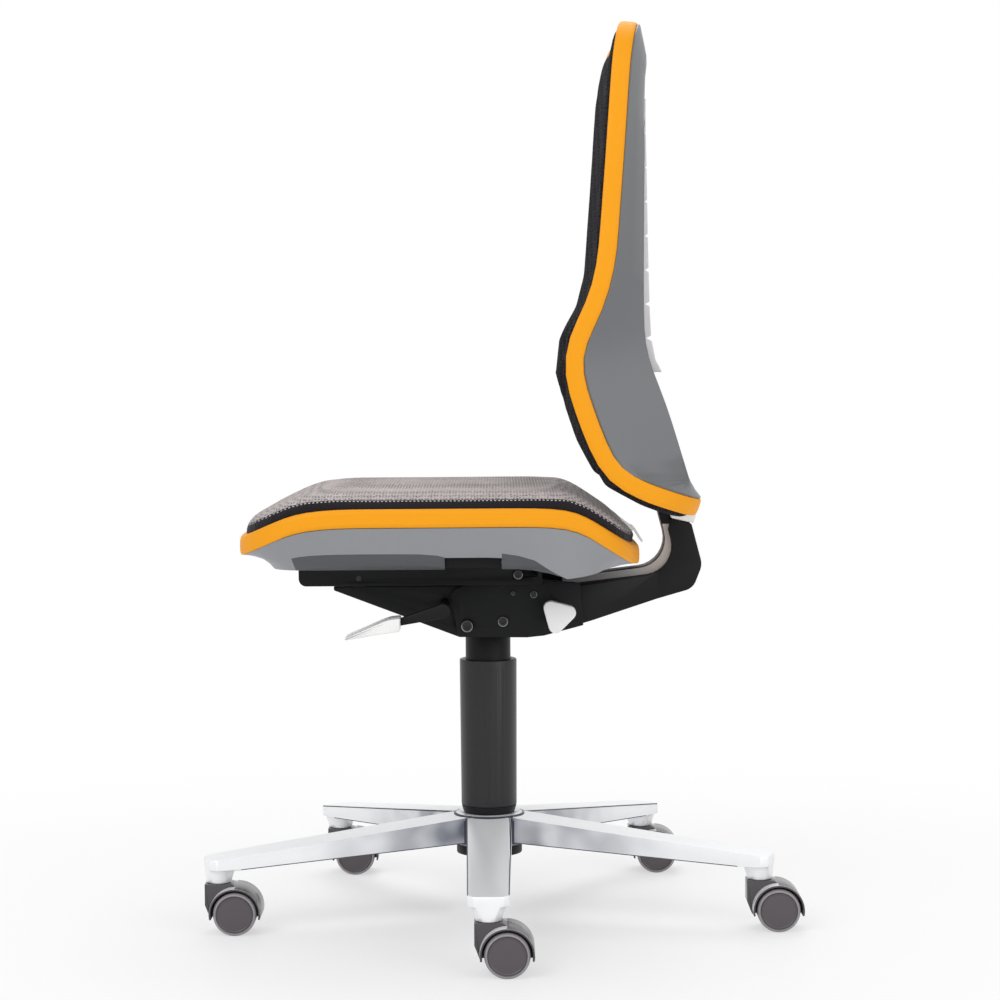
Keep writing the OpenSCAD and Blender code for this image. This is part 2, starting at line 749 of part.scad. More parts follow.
// Inverted channel that the seat slides on
module seat_carrier() {
    nose = carrier_corner();
    link_end = lowered(lowered(link_pin, main_pivot, recline_max), front_pivot, -seat_tilt_max);
    slot_r = pin_d / 2 + run_gap / 2;
    color([0.12, 0.12, 0.13]) difference() {
        union() {
            profile(nose, -carrier_out, carrier_out);
            translate([-carrier_out - lip_w, -carrier_front + carrier_nose_r, carrier_top - lip_t])
                cube([2 * (carrier_out + lip_w), carrier_front - carrier_nose_r + carrier_rear, lip_t]);
        }
        translate([-carrier_in, -carrier_front + carrier_t, carrier_z - cut])
            cube([2 * carrier_in, carrier_front + carrier_rear, carrier_h - carrier_t + cut]);
        pin_pair(front_pivot, pin_d / 2 + turn, carrier_in - cut, carrier_out + cut);
        for (k = [0:4]) pin_pair(link_pin + (link_end - link_pin) * k / 4, slot_r, carrier_in - cut,
            carrier_out + cut);
    }
}
function carrier_corner() = concat(
    [[carrier_rear, carrier_top], [-carrier_front, carrier_top]],
    corner_arc([-carrier_front, carrier_top], [-carrier_front, carrier_z], [carrier_rear, carrier_z],
        carrier_nose_r, 6),
    [[carrier_rear, carrier_z]]
);
// Plate under the seat with rails that hook the carrier's lips, and the front stop
module seat_slide() {
    rail_z = carrier_top - 2 * lip_t - skim;
    long = slide_front + slide_rear;
    hook_w = rail_out - carrier_out - skim;
    tongue_t = slide_t / 3;
    color([0.1, 0.1, 0.11]) {
        translate([-rail_out, -slide_front, slide_z]) cube([2 * rail_out, long, slide_t]);
        translate([-rail_out, -carrier_front - stop_reach, slide_z])
            cube([2 * rail_out, carrier_front + stop_reach - slide_front + cut, tongue_t]);
        translate([-rail_out, -carrier_front - stop_reach, slide_z - tongue_t])
            cube([2 * rail_out, stop_l, 2 * tongue_t]);
        for (side = [-1, 1]) mirror([side < 0 ? 1 : 0, 0, 0]) {
            translate([rail_in, -slide_front, rail_z]) cube([slide_t, long, slide_z - rail_z + slide_t]);
            translate([carrier_out + skim, -slide_front, rail_z]) cube([hook_w, long, lip_t]);
        }
    }
}

// Triangles that span a ring from its right half to its mirrored left half
function ladder(n, base, flip) = [
    for (k = [0:n / 2 - 1])
        let (a = base + k, b = base + k + 1, c = base + (n - k - 1) % n, d = base + (n - k) % n)
        each [if (k < n / 2 - 1) flip ? [c, b, a] : [a, b, c], if (k > 0) flip ? [d, c, a] : [a, c, d]]
];
// Closed skin over rings of points, each end closed straight across
module loft(rings, slanted = 0) {
    n = len(rings[0]);
    count = len(rings);
    polyhedron([for (ring = rings) each ring], concat(
        ladder(n, 0, false),
        [for (k = [0:count - 2]) for (i = [0:n - 1])
            let (a = k * n + i, b = k * n + (i + 1) % n)
            each k < slanted ? [[a, a + n, b + n], [a, b + n, b]] : [[a, a + n, b], [b, a + n, b + n]]],
        ladder(n, (count - 1) * n, true)
    ));
}
// Closed skin over rings that follow each other round a section
module loop_skin(rings) {
    n = len(rings[0]);
    count = len(rings);
    polyhedron([for (ring = rings) each ring], [
        for (k = [0:count - 1]) for (i = [0:n - 1])
            let (a = k * n + i, b = k * n + (i + 1) % n, c = (k + 1) % count * n + i,
                d = (k + 1) % count * n + (i + 1) % n)
            each [[a, c, d], [a, d, b]]
    ]);
}
// Drop of a surface past a knee: a parabola over the run, then a straight slope
function fall(u, run, slope) = u <= 0 ? 0 : u < run ? slope * u * u / (2 * run) : slope * (u - run / 2);
// Height of the band's upper edge at a place along the seat
function seat_edge_z(y) = seat_z
    - fall(front_fall - seat_front - y, front_run, front_slope_share)
    - fall(y - seat_rear + rear_fall, rear_run, rear_slope_share);
// Height of the shell's side edge at a place along the seat
function crease_z(y) = seat_z - skirt_drop * lookup(y < 0 ? y / seat_front : y / seat_rear, crease_shares);
// Seat outline in plan, drawn in by an inset, from the front round the left side
function seat_outline(inset) =
    let (w = seat_half - inset, f = seat_front - inset, b = seat_rear - inset,
        r = max(seat_corner - inset, seat_corner / 3))
    let (right = concat(
        [[0, -f], [(w - r) / 2, front_bow / 3 - f]],
        [for (k = [0:corner_steps]) let (q = 90 * k / corner_steps)
            [w - r + r * sin(q), front_bow - f + r - r * cos(q)]],
        [for (k = [1:side_steps - 1]) [w,
            front_bow - f + r + (f + b - front_bow - rear_bow - 2 * r) * k / side_steps]],
        [for (k = [0:corner_steps]) let (q = 90 * k / corner_steps)
            [w - r + r * cos(q), b - rear_bow - r + r * sin(q)]],
        [[(w - r) / 2, b - rear_bow / 3], [0, b]]
    ))
    concat(right, [for (k = [len(right) - 2:-1:1]) [-right[k][0], right[k][1]]]);
// Ring of the seat: outline at an inset, with heights from the band's edge
function seat_ring(inset, rise) = [for (p = seat_outline(inset)) [p[0], p[1], seat_edge_z(p[1]) + rise]];

module seat_shell() {
    lip = seat_inset;
    inner = seat_inset + shell_t;
    low = seat_z - skirt_drop;
    color([0.53, 0.55, 0.57]) difference() {
        loft([
            [for (p = seat_outline(floor_inset)) [p[0], p[1], slide_top]],
            [for (p = seat_outline(skirt_inset)) [p[0], p[1], min(low, crease_z(p[1]))]],
            [for (p = seat_outline(crease_inset)) [p[0], p[1], crease_z(p[1])]],
            seat_ring(shell_edge, -band_h - skim), seat_ring(lip, -band_h - skim),
            seat_ring(lip, -band_h / 3), seat_ring(inner, -band_h / 3), seat_ring(inner, -band_h - shell_t),
            [for (p = seat_outline(crease_inset + shell_t)) [p[0], p[1], crease_z(p[1]) + shell_t]],
            [for (p = seat_outline(skirt_inset + shell_t)) [p[0], p[1], min(low,
                crease_z(p[1])) + shell_t]],
            [for (p = seat_outline(floor_inset)) [p[0], p[1], slide_top + shell_t]]
        ]);
        translate([seat_half - seat_corner, notch[0], low - cut])
            cube([seat_corner, notch[1] - notch[0], notch_h + cut]);
    }
}
module seat_board() {
    outline = seat_outline(seat_inner);
    path = [for (i = [0:len(outline) / 2]) [outline[i][1], seat_edge_z(outline[i][1]) - board_drop]];
    color([0.72, 0.6, 0.42]) intersection() {
        profile(concat(path, reversed([for (p = path) p - [0, board_t]])), -seat_half, seat_half);
        translate([0, 0, seat_z - 2 * skirt_drop]) linear_extrude(3 * skirt_drop) polygon(outline);
    }
}
module seat_band() {
    color([0.97, 0.64, 0.1]) loop_skin([
        seat_ring(band_t, -band_h), seat_ring(band_t / 5, -band_h), seat_ring(0, skim * 8 - band_h),
        seat_ring(0, -skim * 8), seat_ring(band_t / 5, 0), seat_ring(band_t, 0)
    ]);
}
module seat_cushion() {
    rest = skim - board_drop;
    step = skim - band_h / 3;
    edge = seat_inset + skim;
    color([0.3, 0.29, 0.31]) loft(concat(
        [seat_ring(seat_inner, rest), seat_ring(seat_inner, step), seat_ring(edge, step), seat_ring(edge,
            skim)],
        [for (row = cushion_steps) seat_ring(row[0], row[1])]
    ));
}
module depth_button() {
    x0 = seat_half - seat_corner + depth_travel + 2 * cut;
    color([0.08, 0.08, 0.08]) translate([x0, notch[0] + 2 * skim, seat_z - skirt_drop + shell_t / 2])
        cube([button_d, notch[1] - notch[0] - 4 * skim, notch_h - shell_t / 2 - skim]);
}
// Flat strap over the cushion's rear edge, for pulling it off its board
module pull_loop() {
    half = seat_half / 5;
    tail = [
        [seat_rear - strap_tail, seat_edge_z(seat_rear - strap_tail) + gusset_h + strap_t],
        [seat_rear, seat_edge_z(seat_rear) + gusset_h / 2]
    ];
    path = concat([
        for (k = [0:5]) let (u = strap_run[1] + (strap_run[0] - strap_run[1]) * k / 5, y = seat_rear - u)
            [y, seat_edge_z(y) + lookup(u, cushion_steps) + skim]
    ], tail);
    color([0.85, 0.85, 0.84])
        profile(concat(path, reversed([for (p = path) p + [strap_t / 2, strap_t]])), -half, half);
}

// Side path of the backrest and its points and normals by distance along it
back_path = rounded_path(back_path_points, back_path_radii, 8);
back_run = path_run(back_path);
back_len = back_run[len(back_run) - 1];
back_y_table = [for (i = [0:len(back_path) - 1]) [back_run[i], back_path[i][0]]];
back_z_table = [for (i = [0:len(back_path) - 1]) [back_run[i], back_path[i][1]]];
function back_point(s) = [lookup(s, back_y_table), lookup(s, back_z_table)];
function back_normal(s) =
    let (step = back_band_w / 2, d = direction(back_point(min(s + step,
        back_len)) - back_point(max(s - step, 0))))
    [-d[1], d[0]];
// Place on the backrest: across, along the path, and behind the front surface
function back_place(x, s, behind) =
    let (p = back_point(s) + back_normal(s) * behind, w = back_wrap * lookup(s / back_len,
        back_wrap_shares))
    [x, p[0] + w * (1 - x * x / (back_half * back_half)), p[1]];
// Backrest outline over across and along, drawn in by an inset, from the top round the left side
function back_outline(inset, arch = back_arch) =
    let (w = back_half - inset, r = max(back_corner - inset, back_corner / 3), s1 = back_len - inset)
    let (half = concat(
        [for (k = [0:arch_steps - 1]) [(w - r) * k / arch_steps, inset]],
        [for (k = [0:corner_steps]) let (q = 90 * k / corner_steps) [w - r + r * sin(q),
            inset + r - r * cos(q)]],
        [for (k = [1:back_side_steps - 1]) [w, inset + r + (s1 - inset - 2 * r) * k / back_side_steps]],
        [for (k = [0:corner_steps]) let (q = 90 * k / corner_steps) [w - r + r * cos(q),
            s1 - r + r * sin(q)]],
        [for (k = [arch_steps - 1:-1:1]) let (x = (w - r - arch_flat) * (k - 1) / (arch_steps - 1))
            [arch_flat + x, s1 - arch * (1 + cos(min(180, 180 * x / arch_half))) / 2]],
        [[0, s1 - arch]]
    ))
    let (sized = [for (p = half) [p[0] * lookup(p[1] / back_len, back_width_shares), p[1]]])
    concat(sized, [for (k = [len(sized) - 2:-1:1]) [-sized[k][0], sized[k][1]]]);
// Outline that lies above the arch, narrowed across by a share
function nested_outline(inset, share) =
    let (first = inset + nest_gap, last = back_len - inset - back_arch - nest_gap)
    [for (p = back_outline(inset, 0))
        [p[0] * share, first + (p[1] - inset) * (last - first) / (back_len - 2 * inset)]];
function back_ring(inset, behind) = [for (p = back_outline(inset)) back_place(p[0], p[1], behind)];
function nested_ring(inset, behind, share) = [for (p = nested_outline(inset, share)) back_place(p[0],
    p[1], behind)];
// An outline laid onto the shell's rear face
function rear_y(z) = back_reach * lookup((z - back_low) / back_h, back_rear_shares);
function rear_ring(outline, forward) = [for (p = outline)
    let (q = back_place(p[0], p[1], back_band_w + shell_t),
        y = rear_y(q[2]) - rear_crown * pow(p[0] / back_half, 2))
        [q[0], max(q[1], y) - forward, q[2]]];
// Side view of the middle of that face
function face_line(forward) = [for (p = rear_ring(rear_middle, forward)) if (p[0] > arch_half) [p[1],
    p[2]]];

rear_middle = nested_outline(rear_edge, rear_share);

module back_shell() {
    lip = back_inset;
    rim = back_band_w + skim;
    color([0.43, 0.45, 0.47]) difference() {
        loft([
            rear_ring(rear_middle, 0), rear_ring(back_outline(rear_edge), 0), back_ring(shell_edge,
                rim + shell_t / 2),
            back_ring(shell_edge, rim), back_ring(lip, rim), back_ring(lip, back_band_w / 3),
            back_ring(lip + shell_t, back_band_w / 3), back_ring(lip + shell_t, back_band_w - shell_t / 2),
            rear_ring(back_outline(rear_edge + shell_t), shell_t), rear_ring(rear_middle, shell_t)
        ]);
        profile(blade_outline(skim, -blade_foot, blade_len + back_travel), -blade_w / 2 - skim,
            blade_w / 2 + skim);
    }
}
// Sleeve inside the shell that slides on the arm's blade
module back_guide() {
    half = blade_w / 2 + skim + shell_t;
    rail = blade_outline(skim + shell_t, guide_z[0], guide_z[1]);
    deep = [back_half, 0];
    face = face_line(shell_t);
    color([0.2, 0.2, 0.21]) difference() {
        intersection() {
            profile([rail[0], rail[1], rail[2] + deep, rail[3] + deep], -half, half);
            profile(concat(face, reversed([for (p = face) p - deep])), -half, half);
        }
        profile(blade_outline(skim, 0, blade_len), -blade_w / 2 - skim, blade_w / 2 + skim);
    }
}
module back_band() {
    color([0.97, 0.64, 0.1]) loop_skin([
        back_ring(back_band_t, back_band_w), back_ring(back_band_t / 5, back_band_w), back_ring(0,
            back_band_w - skim * 8),
        back_ring(0, skim * 8), back_ring(back_band_t / 5, 0), back_ring(back_band_t, 0)
    ]);
}
module back_board() {
    front = back_band_w / 2 - skim;
    rear = front + back_board_t;
    color([0.72, 0.6, 0.42]) loft([
        nested_ring(back_inner, front, 0.33), nested_ring(back_inner, front, 0.67), back_ring(back_inner,
            front),
        back_ring(back_inner, rear), nested_ring(back_inner, rear, 0.67), nested_ring(back_inner, rear,
            0.33)
    ], slanted = 2);
}
module back_cushion() {
    t = back_cushion_t;
    rest = back_band_w / 2 - 4 * skim;
    step = back_band_w / 3 - skim;
    edge = back_inset + skim;
    turns = [for (u = back_edge_insets) back_inset + u];
    color([0.2, 0.2, 0.21]) loft([
        nested_ring(turns[3], -t, 0.33), nested_ring(turns[3], -t, 0.67), back_ring(turns[3], -t),
        back_ring(turns[2], -t * 0.85), back_ring(turns[1], -t * 0.6), back_ring(turns[0], -t / 4),
        back_ring(edge, skim), back_ring(edge, step), back_ring(back_inner, step),
        back_ring(back_inner, rest), nested_ring(back_inner, rest, 0.67), nested_ring(back_inner, rest,
            0.33)
    ]);
}
// Thickness of the ribbed panel at a height
function spine_depth(z) = lookup(z, [[spine_z[0], spine_t[0]], [spine_z[1], spine_t[1]]]);
// Ribbed panel on the shell's rear, following the shell's face
module back_panel() {
    pitch = (spine_z[1] - spine_z[0]) / spine_ribs;
    face = face_line(0);
    outer = [for (p = face) p + [spine_depth(p[1]), 0]];
    color([0.62, 0.64, 0.66]) difference() {
        intersection() {
            profile(concat(face, reversed(outer)), -spine_w / 2, spine_w / 2);
            translate([-spine_w, 0, spine_z[0]]) cube([2 * spine_w, 2 * back_half,
                spine_z[1] - spine_z[0]]);
        }
        for (i = [1:spine_ribs - 1]) {
            z = spine_z[0] + i * pitch;
            depth = spine_depth(z) * spine_groove_share;
            y = lookup(z, [for (p = reversed(outer)) [p[1], p[0]]]) - depth;
            profile([[y, z], [y + 2 * depth, z + depth], [y + 2 * depth, z - depth]], -spine_w, spine_w);
        }
    }
}

// Side paths of the arm
arm_ridge = rounded_path(arm_ridge_points, arm_ridge_radii, 8);
arm_lower = rounded_path(arm_lower_points, arm_lower_radii, 8);
neck = [arm_ridge_points[2], arm_lower_points[3]];
blade_dir = direction(arm_ridge_points[2] - arm_ridge_points[1]);
blade_back = [blade_dir[1], -blade_dir[0]];
collar_seat = neck[0] + blade_back * (blade_t + skim) + blade_dir * collar_rise;
// Side outline of the blade, grown by a gap
function blade_outline(gap, from, to) = [
    neck[0] - blade_back * gap + blade_dir * from, neck[0] - blade_back * gap + blade_dir * to,
    neck[0] + blade_back * (blade_t + gap) + blade_dir * to,
        neck[0] + blade_back * (blade_t + gap) + blade_dir * from
];
// Arm with a raised middle: wide at its root, narrow from the bend on
module back_arm() {
    under = concat([collar_seat - blade_dir * skim], reversed(arm_lower));
    shoulder = [for (p = arm_ridge) p + [arm_ridge_h, -arm_ridge_h]];
    half = arm_w / 2;
    color([0.13, 0.13, 0.14]) {
        profile(concat(arm_ridge, under), -blade_w / 2, blade_w / 2);
        intersection() {
            profile(concat([shoulder[0] - [arm_ridge_h, 0]], shoulder, under), -plate_x, plate_x);
            translate([0, 0, mech_z]) linear_extrude(blade_len) polygon([
                [-plate_x, arm_root], [plate_x, arm_root], [plate_x, arm_taper[0]], [half, arm_taper[1]],
                [half, 2 * arm_taper[1]], [-half, 2 * arm_taper[1]], [-half, arm_taper[1]], [-plate_x,
                    arm_taper[0]]
            ]);
        }
        profile(blade_outline(0, -blade_foot, blade_len), -blade_w / 2, blade_w / 2);
    }
}
// Pale ring behind the blade, on the arm's top
module arm_collar() {
    color([0.85, 0.85, 0.84]) profile([
        collar_seat, collar_seat + blade_dir * collar_t, neck[1] + (blade_dir + blade_back) * collar_t,
        neck[1] + blade_dir * skim + blade_back * collar_rise
    ], -arm_w / 2, arm_w / 2);
}

star_base();
hub_caps();
lower_sleeve();
upper_sleeve();
lift_tube();
lift_bush();
lift_cylinder();
lift_rod();
thrust_bearing();
lift_clip();
release_button();
castor_housing(1);  // castor_1_housing
castor_stem(1);  // castor_1_stem
castor_axle(1);  // castor_1_axle
castor_wheel(1, 1);  // castor_1_wheel_left
castor_wheel(1, -1);  // castor_1_wheel_right
castor_housing(2);  // castor_2_housing
castor_stem(2);  // castor_2_stem
castor_axle(2);  // castor_2_axle
castor_wheel(2, 1);  // castor_2_wheel_left
castor_wheel(2, -1);  // castor_2_wheel_right
castor_housing(3);  // castor_3_housing
castor_stem(3);  // castor_3_stem
castor_axle(3);  // castor_3_axle
castor_wheel(3, 1);  // castor_3_wheel_left
castor_wheel(3, -1);  // castor_3_wheel_right
castor_housing(4);  // castor_4_housing
castor_stem(4);  // castor_4_stem
castor_axle(4);  // castor_4_axle
castor_wheel(4, 1);  // castor_4_wheel_left
castor_wheel(4, -1);  // castor_4_wheel_right
castor_housing(5);  // castor_5_housing
castor_stem(5);  // castor_5_stem
castor_axle(5);  // castor_5_axle
castor_wheel(5, 1);  // castor_5_wheel_left
castor_wheel(5, -1);  // castor_5_wheel_right
mechanism_housing();
pivot_bolts();
tilt_spring();
height_lever();
height_paddle();
side_plates();
plate_fasteners();
tilt_lever();
back_arm();
arm_collar();
seat_carrier();
seat_slide();
seat_board();
seat_shell();
seat_band();
seat_cushion();
depth_button();
pull_loop();
back_board();
back_guide();
back_shell();
back_panel();
back_band();
back_cushion();
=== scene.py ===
import math

import bmesh
import bpy
from mathutils import Matrix, Vector
from mathutils.bvhtree import BVHTree


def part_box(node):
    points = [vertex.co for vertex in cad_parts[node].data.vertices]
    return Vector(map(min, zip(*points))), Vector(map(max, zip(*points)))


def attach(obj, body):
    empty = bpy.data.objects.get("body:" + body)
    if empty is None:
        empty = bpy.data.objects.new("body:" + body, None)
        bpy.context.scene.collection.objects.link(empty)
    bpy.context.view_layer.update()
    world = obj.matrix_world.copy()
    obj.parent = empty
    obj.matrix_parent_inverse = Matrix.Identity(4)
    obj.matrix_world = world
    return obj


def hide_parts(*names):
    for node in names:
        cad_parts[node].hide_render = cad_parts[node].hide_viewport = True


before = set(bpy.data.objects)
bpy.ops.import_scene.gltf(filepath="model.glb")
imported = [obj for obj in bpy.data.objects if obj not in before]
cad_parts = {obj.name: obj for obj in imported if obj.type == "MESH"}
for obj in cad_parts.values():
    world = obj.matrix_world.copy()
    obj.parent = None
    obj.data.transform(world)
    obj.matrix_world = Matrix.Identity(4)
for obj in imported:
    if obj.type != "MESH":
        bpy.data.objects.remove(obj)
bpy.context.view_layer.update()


# Camera: a little above the seat and well back from the chair's left side, with a long lens,
# so that the chair is seen in profile and facing left.
def placed(name, data):
    """A new object in the scene that shows its data."""
    made = bpy.data.objects.new(name, data)
    bpy.context.scene.collection.objects.link(made)
    return made


camera_data = bpy.data.cameras.new("camera")
camera_data.lens = 98.1
camera_data.sensor_width = 36
camera = placed("camera", camera_data)
camera_place = (3.24, 0.0155, 0.664)
camera_pitch = math.radians(2.99)
camera_roll = math.radians(0.4)
camera.matrix_world = (
    Matrix.Translation(camera_place)
    @ Matrix.Rotation(math.pi / 2, 4, "Z")
    @ Matrix.Rotation(math.pi / 2 - camera_pitch, 4, "X")
    @ Matrix.Rotation(-camera_roll, 4, "Z")
)
bpy.context.scene.camera = camera
bpy.context.scene.view_settings.view_transform = "Standard"


# Studio: a pale floor that keeps the chair's shadow and runs out into white, a white surround
# that metal and gloss reflect, and three large soft lamps.
def srgb(r, g, b):
    """A colour as a screen shows it, 0 to 255, in the scene's linear values."""
    shares = (r / 255, g / 255, b / 255)
    return tuple(v / 12.92 if v <= 0.04045 else ((v + 0.055) / 1.055) ** 2.4 for v in shares) + (1,)


def node(tree, kind, settings=None, **inputs):
    """A shader node with its settings. Inputs are set or linked by name, or by number as i0."""
    made = tree.nodes.new("ShaderNode" + kind)
    for name, value in (settings or {}).items():
        setattr(made, name, value)
    for name, value in inputs.items():
        numbered = name[0] == "i" and name[1:].isdigit()
        socket = made.inputs[int(name[1:]) if numbered else name.replace("_", " ")]
        if isinstance(value, bpy.types.NodeSocket):
            tree.links.new(value, socket)
        else:
            socket.default_value = value
    return made


def worked(tree, operation, *values):
    """The result of a Math node on numbers and sockets."""
    numbered = {f"i{i}": value for i, value in enumerate(values)}
    return node(tree, "Math", {"operation": operation}, **numbered).outputs[0]


def ranged(tree, value, source=(0, 1), target=(0, 1), kind="LINEAR"):
    """A value moved from one range into another, and held inside it."""
    return node(
        tree, "MapRange", {"interpolation_type": kind}, Value=value, From_Min=source[0],
        From_Max=source[1], To_Min=target[0], To_Max=target[1],
    ).outputs["Result"]


def seen_ray(tree):
    """1 where the eye, or a mirror or glass, looks straight at the surface."""
    ray = node(tree, "LightPath").outputs
    direct = worked(tree, "MAXIMUM", ray["Is Camera Ray"], ray["Is Glossy Ray"])
    return worked(tree, "MAXIMUM", direct, ray["Is Transmission Ray"])


white = srgb(255, 255, 255)
world = bpy.data.worlds.new("studio")
bpy.context.scene.world = world
world.use_nodes = True
surround = world.node_tree
surround.nodes.clear()
ambient = node(surround, "Background", Color=white, Strength=0.5)
backdrop = node(surround, "Background", Color=white, Strength=1.0)
both = node(
    surround, "MixShader", Fac=seen_ray(surround), i1=ambient.outputs[0], i2=backdrop.outputs[0]
)
node(surround, "OutputWorld", Surface=both.outputs[0])

floor_size = 30.0
floor_mesh = bmesh.new()
bmesh.ops.create_grid(floor_mesh, x_segments=4, y_segments=4, size=floor_size / 2)
floor_data = bpy.data.meshes.new("floor")
floor_mesh.to_mesh(floor_data)
floor_mesh.free()
floor = placed("floor", floor_data)

# The floor glows white to the eye far off, and partly under the chair too, as painted light on its
# shadow
fade_reach = (-0.9, 1.4)
pale = bpy.data.materials.new("pale floor")
pale.use_nodes = True
tree = pale.node_tree
tree.nodes.clear()
place = node(tree, "TexCoord").outputs["Object"]
distance = node(tree, "VectorMath", {"operation": "LENGTH"}, i0=place).outputs["Value"]
fade = ranged(tree, distance, source=fade_reach, kind="SMOOTHSTEP")
matt = node(tree, "BsdfPrincipled", Base_Color=srgb(246, 246, 247), Roughness=0.55)
glow = node(tree, "Emission", Color=white, Strength=1.0)
seen = worked(tree, "MULTIPLY", seen_ray(tree), fade)
mixed = node(tree, "MixShader", Fac=seen, i1=matt.outputs[0], i2=glow.outputs[0])
node(tree, "OutputMaterial", Surface=mixed.outputs[0])
floor.data.materials.append(pale)

lamp_target = Vector((0, 0, 0.5))
for lamp_name, lamp_place, lamp_power, lamp_size in [
    ("key lamp", (2.6, -1.9, 2.7), 50, 2.2),
    ("fill lamp", (2.3, 2.3, 1.7), 27, 2.4),
    ("top lamp", (-1.4, 0.3, 3.0), 32, 2.0),
]:
    lamp_data = bpy.data.lights.new(lamp_name, "AREA")
    lamp_data.energy = lamp_power
    lamp_data.size = lamp_size
    lamp = placed(lamp_name, lamp_data)
    aim = (lamp_target - Vector(lamp_place)).to_track_quat("-Z", "Y")
    lamp.matrix_world = Matrix.Translation(lamp_place) @ aim.to_matrix().to_4x4()


# Star base: five hollow legs and a hub, die-cast in one piece of aluminium and polished all
# over. Each leg ends in a flared boss with a socket for its castor's stem.
def blended(tree, share, first, second):
    """The first colour going over into the second as the share grows."""
    return node(tree, "Mix", {"data_type": "RGBA"}, i0=share, i6=first, i7=second).outputs[2]


def finish(
    name, colour, roughness, metallic=0.0, mottle=0.08, patch=14.0, grain=900.0, relief=0.00002,
    streak=(1, 1, 1), coat=0.0, shine=0.5,
):
    """A material with faint patches of shade, uneven gloss and a fine grain."""
    gloss_swing = 0.15
    made = bpy.data.materials.new(name)
    made.use_nodes = True
    tree = made.node_tree
    shader = tree.nodes["Principled BSDF"]
    place = node(tree, "TexCoord").outputs["Object"]
    run = node(tree, "Mapping", Vector=place, Scale=streak).outputs["Vector"]
    patches = node(tree, "TexNoise", Vector=run, Scale=patch, Detail=3.0).outputs["Fac"]
    fine = node(tree, "TexNoise", Vector=run, Scale=grain, Detail=2.0).outputs["Fac"]
    dark = tuple(v * (1 - mottle) for v in colour[:3]) + (1,)
    light = tuple(min(1, v * (1 + mottle)) for v in colour[:3]) + (1,)
    glosses = (roughness * (1 - gloss_swing), min(1, roughness * (1 + gloss_swing)))
    gloss = ranged(tree, fine, target=glosses)
    bump = node(tree, "Bump", Height=fine, Strength=1.0, Distance=relief).outputs["Normal"]
    tree.links.new(blended(tree, patches, dark, light), shader.inputs["Base Color"])
    tree.links.new(gloss, shader.inputs["Roughness"])
    tree.links.new(bump, shader.inputs["Normal"])
    shader.inputs["Metallic"].default_value = metallic
    shader.inputs["Coat Weight"].default_value = coat
    shader.inputs["Specular IOR Level"].default_value = shine
    return made


weld = 0.00001


def merged(name):
    """A copy of a frame node's mesh with its loose triangles joined."""
    mesh = bmesh.new()
    mesh.from_mesh(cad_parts[name].data)
    bmesh.ops.remove_doubles(mesh, verts=mesh.verts, dist=weld)
    return mesh


def traced(name):
    """A merged copy of a frame node's mesh, with its flat faces whole."""
    mesh = merged(name)
    bmesh.ops.dissolve_limit(mesh, angle_limit=math.radians(1), verts=mesh.verts, edges=mesh.edges)
    return mesh


def bent(mesh, corner):
    """The edges where two faces meet at more than a corner, in degrees."""
    limit = math.radians(corner)
    return [e for e in mesh.edges if len(e.link_faces) == 2 and e.calc_face_angle() > limit]


def eased(mesh, width, corner=30, paint=-1):
    """The mesh with its sharp edges rounded, and the new faces in a paint of their own if named."""
    bmesh.ops.bevel(
        mesh, geom=bent(mesh, corner), offset=width, offset_type="OFFSET", segments=2,
        profile=0.5, affect="EDGES", clamp_overlap=False, material=paint,
    )
    return mesh


def fitted(name, mesh, body, materials, replaced):
    """A finished piece from a mesh: shaded, painted, and riding on its body in a node's place."""
    data = bpy.data.meshes.new(name)
    mesh.to_mesh(data)
    mesh.free()
    for face in data.polygons:
        face.use_smooth = True
    data.set_sharp_from_angle(angle=math.radians(32))
    for material in materials:
        data.materials.append(material)
    made = placed(name, data)
    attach(made, body)
    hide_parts(replaced)
    return made


def with_painted_reflection(material, painted_flank_reflection, reach):
    """The material with a dark painted reflection on its upright faces near the chair's axis."""
    upright_slopes, cloud_scale, cloud_reach, least_cloud = (0.25, 0.6), 22.0, (0.35, 0.6), 0.35
    tree = material.node_tree
    shader = tree.nodes["Principled BSDF"]
    bare = shader.inputs["Base Color"].links[0].from_socket
    place = node(tree, "TexCoord").outputs["Object"]
    across = node(tree, "VectorMath", {"operation": "MULTIPLY"}, i0=place, i1=(1, 1, 0))
    away = node(tree, "VectorMath", {"operation": "LENGTH"}, i0=across.outputs["Vector"])
    inner = ranged(tree, away.outputs["Value"], source=reach, target=(1, 0))
    facing = node(tree, "SeparateXYZ", Vector=node(tree, "NewGeometry").outputs["Normal"])
    level = worked(tree, "ABSOLUTE", facing.outputs["Z"])
    upright = ranged(tree, level, source=upright_slopes, target=(1, 0))
    cloud = node(tree, "TexNoise", Vector=place, Scale=cloud_scale, Detail=1.0).outputs["Fac"]
    tone = ranged(tree, cloud, source=cloud_reach, target=(least_cloud, 1))
    share = worked(tree, "MULTIPLY", worked(tree, "MULTIPLY", inner, upright), tone)
    tree.links.new(blended(tree, share, bare, painted_flank_reflection), shader.inputs["Base Color"])
    return material


cast_relief = 0.000002
# The polish is toned dark on the hub's upright faces: a painted reflection, not the metal's own
# colour.
polished = with_painted_reflection(
    finish(
        "polished aluminium painted reflection", srgb(249, 250, 252), 0.36, metallic=0.3, mottle=0.02, patch=6.0,
        grain=260.0, relief=cast_relief, shine=0.4,
    ),
    painted_flank_reflection=srgb(112, 116, 130), reach=(0.04, 0.24),
)
# The bevels on the base's edges take a dark painted reflection and shade as a paint of their own.
painted_edge_reflection = finish(
    "polished edge painted reflection", srgb(72, 75, 86), 0.4, mottle=0.1, patch=10.0, relief=cast_relief, shine=0.2
)
